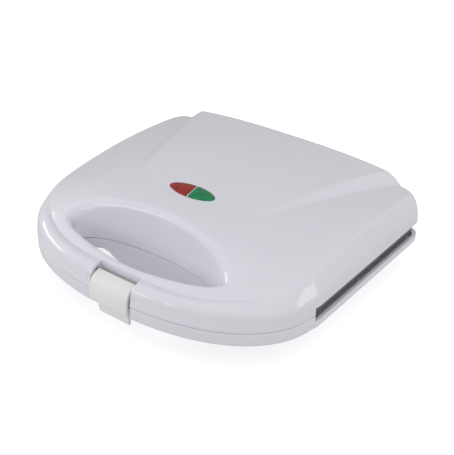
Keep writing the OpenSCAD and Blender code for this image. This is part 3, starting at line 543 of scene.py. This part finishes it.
def make_lid():
    shell = ring_mesh("lid_shell", lid_rings(), loop=True)
    low = PART_Z - CUT_BELOW
    # Right side, front and top of the room for the base's dam
    dam = (DAM_HALF + DAM_GAP, DAM_FRONT - DAM_GAP, PART_Z + DAM_H + DAM_GAP)
    cutters = [
        box("slot", (-HALF - CUT_SIDE, SLOT_Y, low), (HALF + CUT_SIDE, REAR_Y + CUT_REAR, PART_Z + SLOT_HIGH)),
        rolled_notch_cutter(NOTCH_Y, low, PART_Z + 30),
        box("dam", (-dam[0], dam[1], low), (dam[0], DAM_Y + 3, dam[2])),
        ring_mesh("window", [lift(window_points(0.3), PART_Z + z) for z in (20, 60)]),
    ]
    boolean(shell, cutters)
    # Deck that faces the base round the hole, and the notch's own walls
    deck = ring_mesh("deck", [lift(plan_at(WALL - 0.4), PART_Z + z) for z in (FACE_GAP, DECK)])
    over = box("over", (-dam[0] - WALL, dam[1] - WALL, PART_Z + 1), (dam[0] + WALL, DAM_Y, dam[2] + DECK))
    cheeks = [box("cheek", (s * NOTCH_HALF - (WALL if s < 0 else 0), RIM_Y + 3.4, PART_Z + FACE_GAP),
                  (s * NOTCH_HALF + (WALL if s > 0 else 0), NOTCH_Y + WALL, PART_Z + 9.5)) for s in (-1, 1)]
    back = box("back", (-NOTCH_HALF - WALL, NOTCH_Y - 3, PART_Z + FACE_GAP),
               (NOTCH_HALF + WALL, NOTCH_Y + WALL, PART_Z + 13.4))
    boolean(deck, [box("rear", (-HALF, DAM_Y, 0), (HALF, REAR_Y + 20, FAR_UP))])
    boolean(deck, [over] + cheeks + [back], "UNION")
    boolean(deck, [
        hole_prism(0.4, -1, FAR_UP),
        notch_cutter(NOTCH_Y, OFF_PLANE, 0, FAR_UP),
        box("dam", (-dam[0], dam[1], 0), (dam[0], DAM_Y + 3, dam[2])),
        prism_x("pin", circle(*LATCH_PIN, LATCH_PIN_R, 32), -40, 40),
    ])
    arms = [hinge_arm(s * HINGE_X, ARM_W, 1, SLOT_HIGH - WEB_IN) for s in (-1, 1)]
    # Rib between the lens halves
    along, across = lens_joint()
    half_l = LENS_W / 2 + 0.1
    plan = [a * RIB_HALF * across + b * half_l * along for a, b in ((1, -1), (1, 1), (-1, 1), (-1, -1))]
    plan = np.array(plan) + [0, LENS_Y]
    rib = bevel(ring_mesh("rib", [lift(plan, PART_Z + LENS_TOP + z) for z in (-4, -0.25)]), 0.15, 2)
    return shade(join("lid_shell", [shell, deck, rib] + arms), SHELL_CREASE)


def corner(x, y, r, start):
    """Quarter of a circle from the angle start, in degrees."""
    q = np.radians(start + np.linspace(0, 90, 16))
    return np.column_stack([x + r * np.cos(q), y + r * np.sin(q)])


def pan_ring(half, depth, rear, z):
    """Plan of the pan: a squarish superellipse in front, two round corners behind."""
    t = np.linspace(math.pi, 2 * math.pi, 160)
    c, s = np.cos(t), np.sin(t)
    away = (np.abs(c / half) ** PAN_N + np.abs(s / depth) ** PAN_N) ** (-1 / PAN_N)
    front = np.column_stack([c, s]) * away[:, None] + [0, PAN_MID]
    x, y = half - PAN_R, rear - PAN_R
    return lift(np.concatenate([front, corner(x, y, PAN_R, 0), corner(-x, y, PAN_R, 90)]), z)


def pan(drop, top):
    """The deep middle of the base, drawn in by drop on all sides for its inside."""
    low, high = PART_Z - PAN_H + drop, PART_Z - RIM_H + drop
    rings = []
    for a, z in ((3.0, 0.0), (1.3, 0.35), (0.4, 1.0), (0, 2.0)):
        a += drop
        rings.append(pan_ring(PAN_BOTTOM - a, PAN_FRONT - PAN_SLOPE - a, REAR_Y - PAN_SLOPE - a, low + z))
    rings += [pan_ring(PAN_TOP - drop, PAN_FRONT - drop, REAR_Y - 3 - drop, z) for z in (high, top)]
    return ring_mesh("pan", rings)


def rim(drop, top):
    """The base's rim, drawn in by drop for its inside."""
    low = PART_Z - RIM_H
    rows = [(1.9, 0.0), (1.2, 0.08), (0.7, 0.28), (0.35, 0.6), (0.14, 1.05), (0.03, 1.6), (0, 2.4)]
    rings = [lift(plan_at(a + drop), low + drop + z) for a, z in rows]
    if not drop:
        rings += [lift(plan_at(a), top - z) for a, z in ((0, 1.0), (0.06, 0.55), (0.2, 0.25), (0.45, 0.07), (0.8, 0))]
    else:
        rings.append(lift(plan_at(drop), top))
    return ring_mesh("rim", rings)


def skirt():
    """Wall behind the hand hole, below the rim."""
    solid = hole_prism(WALL, PART_Z - SKIRT_H, PART_Z - RIM_H + 1)
    return boolean(solid, [box("span", (-41, HOLE_MID, 0), (41, HOLE_Y + 5, PART_Z))], "INTERSECT")


def hole_end(side):
    """Opens the rim from below at one end of the hand hole, so that the wall narrows downwards."""
    high, edge = 0.2 - FACE_GAP - DECK, HOLE_HALF + WALL + 3
    x, z = np.array([(44, high), (40.8, -6.8), (38.2, -9.0), (35.6, -10.9), (28, -17), (26, -19),
                     (edge, -19), (edge, high)]).T
    rings = [np.column_stack([side * x, np.full(len(x), y), PART_Z + z]) for y in (HOLE_MID - 4, HOLE_Y + 3)]
    return ring_mesh("hole_end", rings)


def hole_cutter():
    """The hole through the base, widening in a small round at the top of its rear wall."""
    r, top = HOLE_ROLL, PART_Z + DAM_H
    rings = [lift(scoop_point(HOLE_T, 0, 0), -1)]
    for q in np.radians(np.linspace(0, 90, 7)):
        rings.append(lift(scoop_point(HOLE_T, 0, r * (1 - math.cos(q))), top - r * (1 - math.sin(q))))
    return ring_mesh("hole", rings + [lift(scoop_point(HOLE_T, 0, r), BASE_UP)])


def make_base():
    top = PART_Z - FACE_GAP
    outer = rim(0, top)
    dam = box("dam", (-DAM_HALF, DAM_FRONT, PART_Z - 2), (DAM_HALF, DAM_Y, PART_Z + DAM_H))
    # Block behind the cord bush
    half_w = 8
    pad = box("pad", (CORD_X - half_w, REAR_Y - 14, 5), (CORD_X + half_w, REAR_Y - 2.6, PART_Z - RIM_H + 1))
    boolean(outer, [pan(0, PART_Z - RIM_H + 1), dam, skirt()], "UNION")
    inner = rim(WALL, PART_Z + 1)
    boolean(inner, [pan(WALL, PART_Z - RIM_H + WALL + 1)], "UNION")
    boolean(inner, [box("deck", (-HALF, RIM_Y - 2, top - DECK), (HALF, DAM_Y, PART_Z + CUT_BELOW))])
    well = box("well", (-DAM_HALF + WALL, DAM_FRONT + WALL, PART_Z - 6),
               (DAM_HALF - WALL, DAM_Y - WALL, PART_Z + DAM_H - DECK))
    boolean(inner, [well], "UNION")
    notch = NOTCH_HALF + WALL
    boolean(inner, [
        hole_prism(WALL, -1, BASE_UP),
        box("notch", (-notch, RIM_Y - 9, 0), (notch, BASE_NOTCH_Y + WALL, BASE_UP)),
    ])
    slot = box("slot", (-HALF - CUT_SIDE, SLOT_Y, PART_Z - SLOT_LOW),
               (HALF + CUT_SIDE, REAR_Y + CUT_REAR, PART_Z + CUT_BELOW))
    notch = notch_cutter(BASE_NOTCH_Y, 0, 0, BASE_UP)
    boolean(outer, [inner, hole_cutter(), hole_end(-1), hole_end(1), slot, notch])
    boolean(outer, [pad], "UNION")
    x, z = circle(CORD_X, CORD_Z, CORD_R, 32).T
    wires = [np.column_stack([x, np.full(len(x), y), z]) for y in (REAR_Y - 22, REAR_Y)]
    boolean(outer, [ring_mesh("wires", wires)])
    catch = box("catch", (-7, BASE_NOTCH_Y - 1.4, PART_Z - TOOTH_LOW), (7, BASE_NOTCH_Y + 1, PART_Z - TOOTH_HIGH))
    bevel(catch, SMALL_ROUND)
    arms = [hinge_arm(s * HINGE_X + d * FORK_OUT, FORK_W, -1, SLOT_LOW + WEB_IN) for s in (-1, 1) for d in (-1, 1)]
    return shade(join("base_shell", [outer, catch] + arms), SHELL_CREASE)


# ---- Latch ----

# Side views of the cover and of the tab under it, from the rim and the parting line
COVER = [(9.2, 12.2), (6.4, 11.6), (3.4, 10.4), (1.2, 8.6), (0.0, 6.4), (-0.8, 3.6), (-1.3, 0.4), (-1.5, -3.0),
         (-1.5, -6.2), (-1.1, -7.0), (0.4, -7.3), (2.6, -7.3), (3.3, -6.6), (2.5, -5.2), (1.7, -3.0), (1.4, 0.0),
         (1.8, 2.6), (2.7, 4.4), (5.2, 6.4), (8.8, 9.4), (9.3, 10.2)]
TAB = [(1.9, -4.6), (1.9, -6.4), (2.3, -8.0), (2.7, -10.0), (3.0, -12.6), (3.3, -15.2), (3.6, -16.9), (4.1, -17.8),
       (4.6, -18.0), (5.1, -17.7), (5.5, -16.7), (5.4, -13.8), (5.2, -11.2), (4.8, -8.8), (3.8, -7.0), (3.0, -5.6)]
COVER_HALF, TAB_HALF, BOSS_HALF, TOOTH_HALF = 16, 13, 15.6, 6
BOSS_R, BORE_R = 3.55, 1.25


def make_latch():
    rest = [RIM_Y, PART_Z]
    cover = bevel(prism_x("cover", round_profile(COVER) + rest, -COVER_HALF, COVER_HALF), 0.7, 4)
    tab = bevel(prism_x("tab", round_profile(TAB) + rest, -TAB_HALF, TAB_HALF), 0.7, 4)
    boss = prism_x("boss", circle(*LATCH_PIN, BOSS_R), -BOSS_HALF, BOSS_HALF)
    tooth = box("tooth", (-TOOTH_HALF, RIM_Y + 0.5, PART_Z - TOOTH_LOW),
                (TOOTH_HALF, BASE_NOTCH_Y - 1.8, PART_Z - TOOTH_HIGH))
    bevel(tooth, 0.3)
    boolean(cover, [boss], "UNION")
    boolean(cover, [prism_x("bore", circle(*LATCH_PIN, BORE_R, 48), -20, 20)])
    return shade(join("latch_cover", [cover, tab, tooth]), 35)


# ---- Indicator window ----

LENS_TOP = DOME_H + LENS_PROUD
LENS_SLANT = math.radians(-11)


def lens_joint():
    """Directions along and across the slanted joint between the lens halves."""
    along = np.array([math.sin(LENS_SLANT), math.cos(LENS_SLANT)])
    return along, np.array([along[1], -along[0]])


def closed(points):
    """The points with the first one again at the end, and how far along the outline each lies."""
    loop = np.vstack([points, points[:1]])
    return loop, np.concatenate([[0], np.cumsum(np.linalg.norm(np.diff(loop, axis=0), axis=1))])


def lens_outline(side):
    """One half of the oval, on its side of the slanted joint."""
    p = window_points(0.0, 240) - [0, LENS_Y]
    s = p @ (lens_joint()[1] * side) - LENS_SPLIT
    keep = []
    for k in range(len(p)):
        a, b, sa, sb = p[k], p[(k + 1) % len(p)], s[k], s[(k + 1) % len(p)]
        if sa > 0:
            keep.append(a)
        if sa * sb < 0:
            keep.append(a + (b - a) * sa / (sa - sb))
    loop, s = closed(np.array(keep))
    at = np.linspace(0, s[-1], 160, endpoint=False)
    return np.column_stack([np.interp(at, s, loop[:, 0]), np.interp(at, s, loop[:, 1])])


def make_lens(name, side):
    p = lens_outline(side)
    mid = p.mean(0)

    def crown(q):
        return LENS_TOP + LENS_CROWN - (q[:, 0] ** 2 / 1.6 + q[:, 1] ** 2 * 3.2) / 220

    edge = [(0, 1.0), (0.012, 0.6), (0.035, 0.3), (0.07, 0.1), (0.11, 0.02)]
    rings = [lift(p, LENS_TOP - 5)]
    for shrink, fall in edge + [(k, 0) for k in np.linspace(0.17, 0.96, 12)]:
        q = mix(p, mid, shrink)
        rings.append(lift(q, crown(q) - fall))
    rings = [r + [0, LENS_Y, PART_Z] for r in rings]
    return shade(ring_mesh(name, rings), 50)


# ---- Materials ----


def material(name, color, roughness, specular=None, coat=None, coat_roughness=None):
    mat = bpy.data.materials.new(name)
    mat.use_nodes = True
    tree = mat.node_tree
    shader = tree.nodes["Principled BSDF"]
    shader.inputs["Base Color"].default_value = (*color, 1)
    shader.inputs["Roughness"].default_value = roughness
    extra = {"Specular IOR Level": specular, "Coat Weight": coat, "Coat Roughness": coat_roughness}
    for key, value in extra.items():
        if value is not None:
            shader.inputs[key].default_value = value
    return mat, tree, shader


def noise(tree, scale, detail=2.0):
    """Noise in the piece's own space: scale is in cells per metre, one number or one for each axis."""
    coords = tree.nodes.new("ShaderNodeTexCoord")
    mapping = tree.nodes.new("ShaderNodeMapping")
    mapping.inputs["Scale"].default_value = (scale, scale, scale) if np.isscalar(scale) else scale
    tree.links.new(coords.outputs["Object"], mapping.inputs["Vector"])
    node = tree.nodes.new("ShaderNodeTexNoise")
    node.inputs["Scale"].default_value = 1.0
    node.inputs["Detail"].default_value = detail
    tree.links.new(mapping.outputs["Vector"], node.inputs["Vector"])
    return node.outputs["Fac"]


# Part of the noise's range that the low and the high value are spread over
NOISE_LOW, NOISE_HIGH = 0.3, 0.7


def map_range(tree, source, lows, highs, kind="LINEAR"):
    node = tree.nodes.new("ShaderNodeMapRange")
    node.interpolation_type = kind
    for key, value in zip(("From Min", "From Max", "To Min", "To Max"), (*lows, *highs)):
        node.inputs[key].default_value = value
    tree.links.new(source, node.inputs["Value"])
    return node.outputs["Result"]


def vary(tree, source, socket, low, high):
    """Drives a number of the shader by noise."""
    tree.links.new(map_range(tree, source, (NOISE_LOW, NOISE_HIGH), (low, high)), socket)


def tint(tree, source, socket, low, high):
    """Drives a colour of the shader by noise."""
    ramp = tree.nodes.new("ShaderNodeValToRGB")
    for element, position, color in zip(ramp.color_ramp.elements, (NOISE_LOW, NOISE_HIGH), (low, high)):
        element.position, element.color = position, (*color, 1)
    tree.links.new(source, ramp.inputs["Fac"])
    tree.links.new(ramp.outputs["Color"], socket)


def bump(tree, source, shader, strength, distance=0.0002):
    node = tree.nodes.new("ShaderNodeBump")
    node.inputs["Strength"].default_value = strength
    node.inputs["Distance"].default_value = distance
    tree.links.new(source, node.inputs["Height"])
    tree.links.new(node.outputs["Normal"], shader.inputs["Normal"])


def moulded_white():
    mat, tree, shader = material("gloss_white_moulding", (0.77, 0.765, 0.83), 0.2, 0.3, 0.7, 0.035)
    tint(tree, noise(tree, 14), shader.inputs["Base Color"], (0.76, 0.752, 0.82), (0.782, 0.773, 0.84))
    vary(tree, noise(tree, 90, 3), shader.inputs["Roughness"], 0.17, 0.23)
    bump(tree, noise(tree, 420, 2), shader, 0.05)
    return mat


def latch_plastic():
    mat, tree, shader = material("satin_latch_plastic", (0.82, 0.84, 0.815), 0.42)
    tint(tree, noise(tree, 60), shader.inputs["Base Color"], (0.805, 0.827, 0.8), (0.835, 0.853, 0.83))
    vary(tree, noise(tree, 900, 3), shader.inputs["Roughness"], 0.38, 0.5)
    bump(tree, noise(tree, 2600, 3), shader, 0.25, 0.00008)
    return mat


def lens_plastic(name, dark, light):
    mat, tree, shader = material(name, light, 0.12, 0.3, 0.1, 0.04)
    tint(tree, noise(tree, 260, 2), shader.inputs["Base Color"], dark, light)
    vary(tree, noise(tree, 500, 2), shader.inputs["Roughness"], 0.1, 0.22)
    bump(tree, noise(tree, 900, 1), shader, 0.12, 0.0001)
    return mat


def coating():
    mat, tree, shader = material("nonstick_coating", (0.1, 0.1, 0.088), 0.45)
    tint(tree, noise(tree, 1800, 3), shader.inputs["Base Color"], (0.085, 0.085, 0.072), (0.125, 0.125, 0.108))
    vary(tree, noise(tree, 300, 3), shader.inputs["Roughness"], 0.4, 0.56)
    bump(tree, noise(tree, 2400, 4), shader, 0.35, 0.0001)
    return mat


def metal(name, color, roughness, stretch=(900, 60, 900)):
    mat, tree, shader = material(name, color, roughness)
    shader.inputs["Metallic"].default_value = 1.0
    streaks = noise(tree, stretch, 3)
    vary(tree, streaks, shader.inputs["Roughness"], roughness * 0.75, roughness * 1.3)
    tint(tree, noise(tree, 120, 2), shader.inputs["Base Color"], tuple(c * 0.93 for c in color), color)
    bump(tree, streaks, shader, 0.12, 0.00005)
    return mat


def matte(name, color, roughness):
    mat, tree, shader = material(name, color, roughness)
    tint(tree, noise(tree, 90, 2), shader.inputs["Base Color"], tuple(c * 0.9 for c in color), color)
    vary(tree, noise(tree, 1500, 3), shader.inputs["Roughness"], roughness - 0.08, roughness + 0.1)
    bump(tree, noise(tree, 1500, 3), shader, 0.3, 0.0001)
    return mat


def glass(name, color):
    mat, tree, shader = material(name, color, 0.08)
    shader.inputs["Transmission Weight"].default_value = 0.6
    vary(tree, noise(tree, 700, 2), shader.inputs["Roughness"], 0.05, 0.12)
    return mat


def give(obj, mat):
    """Puts one material on the whole piece, whatever the cutters left behind."""
    obj.data.materials.clear()
    obj.data.materials.append(mat)
    for p in obj.data.polygons:
        p.material_index = 0


def give_node(name, mat):
    for slot in NODES[name].material_slots:
        slot.material = mat


# ---- Camera ----


# Height of the picture, focal length and shift of the centre, all in its pixels
IMAGE_H, FOCAL, SHIFT = 455, 925.79, (13.9066, 1.5743)
SENSOR = 36


def make_camera():
    """The photograph's viewing angle, from the outline, the parting line and the side slot."""
    right = Vector((0.786732, 0.617294, 0.0))
    up = Vector((-0.320599, 0.408598, 0.854555))
    back = Vector((0.527512, -0.672306, 0.519361))
    place = Vector((345.734, -439.494, 371.412)) * MM
    data = bpy.data.cameras.new("camera")
    data.sensor_fit, data.sensor_width, data.sensor_height = "VERTICAL", SENSOR, SENSOR
    data.lens = FOCAL / IMAGE_H * SENSOR
    data.shift_x, data.shift_y = SHIFT[0] / IMAGE_H, SHIFT[1] / IMAGE_H
    data.clip_start = 0.01
    cam = bpy.data.objects.new("camera", data)
    cam.matrix_world = Matrix.Translation(place) @ Matrix((right, up, back)).transposed().to_4x4()
    bpy.context.scene.collection.objects.link(cam)
    bpy.context.scene.camera = cam


# ---- Stage and light ----


SOFTBOX_AWAY = 1.5
FLOOR_HALF = 30000


def softbox(name, turn, tilt, width, height, radiance):
    """Soft panel aimed at the part, in metres and degrees: turn is from the front towards the right, tilt is up."""
    data = bpy.data.lights.new(name, "AREA")
    data.shape = "RECTANGLE"
    data.size, data.size_y = width, height
    data.energy = radiance * math.pi * width * height
    obj = bpy.data.objects.new(name, data)
    t, e = math.radians(turn), math.radians(tilt)
    way = Vector((math.sin(t) * math.cos(e), -math.cos(t) * math.cos(e), math.sin(e)))
    obj.location = way * SOFTBOX_AWAY + Vector((0, -0.05, 0.03))
    obj.rotation_euler = way.to_track_quat("Z", "Y").to_euler()
    bpy.context.scene.collection.objects.link(obj)


def make_world():
    """White surroundings, brightest overhead, dim below and low behind the part on its left."""
    world = bpy.data.worlds.new("studio")
    bpy.context.scene.world = world
    world.use_nodes = True
    tree = world.node_tree
    coords = tree.nodes.new("ShaderNodeTexCoord")

    def level(way, lows, highs):
        dot = tree.nodes.new("ShaderNodeVectorMath")
        dot.operation = "DOT_PRODUCT"
        dot.inputs[1].default_value = Vector(way).normalized()
        tree.links.new(coords.outputs["Generated"], dot.inputs[0])
        return map_range(tree, dot.outputs["Value"], lows, highs, "SMOOTHSTEP")

    product = tree.nodes.new("ShaderNodeMath")
    product.operation = "MULTIPLY"
    tree.links.new(level((0, 0, 1), (-0.1, 0.75), (0.6, 0.9)), product.inputs[0])
    tree.links.new(level((-0.53, 0.67, 0.52), (0.55, 1.0), (1.0, 0.5)), product.inputs[1])
    tree.links.new(product.outputs[0], tree.nodes["Background"].inputs["Strength"])
    tree.nodes["Background"].inputs["Color"].default_value = (1.0, 1.0, 1.0, 1)


def make_stage():
    corners = [(x * FLOOR_HALF, y * FLOOR_HALF, 0) for x, y in ((-1, -1), (1, -1), (1, 1), (-1, 1))]
    floor = new_object("floor", corners, [(0, 1, 2, 3)])
    mat, tree, shader = material("pale_floor", (0.9, 0.9, 0.9), 0.9)
    tint(tree, noise(tree, 3), shader.inputs["Base Color"], (0.9, 0.9, 0.9), (0.91, 0.91, 0.91))
    shader.inputs["Emission Color"].default_value = (1, 1, 1, 1)
    shader.inputs["Emission Strength"].default_value = 0.43
    give(floor, mat)
    # The floor catches the shadow, and the world's lower half stands in for what it would throw back
    floor.visible_diffuse = floor.visible_glossy = False
    make_world()
    softbox("front_box", -30, 13, 0.56, 0.44, 2.4)
    softbox("front_strip", -11, 13, 0.12, 0.34, 3.0)
    softbox("right_box", 108, 14, 0.6, 0.4, 2.1)
    softbox("left_box", -75, 12, 0.7, 0.4, 3.2)
    view = bpy.context.scene.view_settings
    view.view_transform = "Standard"
    view.look = "None"


def main():
    make_camera()
    make_stage()

    white = moulded_white()
    lid = make_lid()
    give(lid, white)
    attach(lid, "lid")
    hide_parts("upper_housing")

    base = make_base()
    give(base, white)
    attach(base, "base")
    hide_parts("lower_housing")

    latch = make_latch()
    give(latch, latch_plastic())
    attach(latch, "latch")
    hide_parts("latch_clip")

    red = make_lens("red_lens_half", -1)
    give(red, lens_plastic("red_lens_plastic", (0.24, 0.012, 0.006), (0.39, 0.025, 0.012)))
    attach(red, "lid")
    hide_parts("power_lens")

    green = make_lens("green_lens_half", 1)
    give(green, lens_plastic("green_lens_plastic", (0.006, 0.17, 0.062), (0.012, 0.27, 0.10)))
    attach(green, "lid")
    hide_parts("ready_lens")

    nonstick = coating()
    steel = metal("plated_steel", (0.7, 0.71, 0.73), 0.3)
    ground = metal("ground_steel", (0.62, 0.63, 0.65), 0.25)
    black = matte("dark_plastic", (0.03, 0.03, 0.03), 0.5)
    give_node("upper_plate", nonstick)
    give_node("lower_plate", nonstick)
    for name in ("upper_element", "lower_element"):
        give_node(name, metal(name + "_sheath", (0.42, 0.41, 0.4), 0.45))
    rolled_across = (60, 900, 60)
    for name in ("upper_reflector", "lower_reflector"):
        give_node(name, metal(name + "_sheet", (0.78, 0.79, 0.8), 0.28, rolled_across))
    for name in ("upper_plate_screws", "lower_plate_screws", "foot_screws"):
        give_node(name, steel)
    for name in ("hinge_pins", "latch_pin"):
        give_node(name, ground)
    give_node("rubber_feet", matte("foot_rubber", (0.035, 0.035, 0.035), 0.75))
    give_node("cord_bush", matte("bush_rubber", (0.04, 0.04, 0.04), 0.7))
    give_node("terminal_block", matte("terminal_plastic", (0.75, 0.75, 0.72), 0.5))
    give_node("terminal_screws", metal("brass_screws", (0.72, 0.52, 0.22), 0.3))
    give_node("thermostat", black)
    give_node("lamp_holder", black)
    give_node("thermal_fuse", metal("fuse_case", (0.75, 0.75, 0.76), 0.35))
    give_node("power_lamp", glass("amber_lamp_glass", (0.9, 0.45, 0.25)))
    give_node("ready_lamp", glass("green_lamp_glass", (0.5, 0.85, 0.55)))


main()
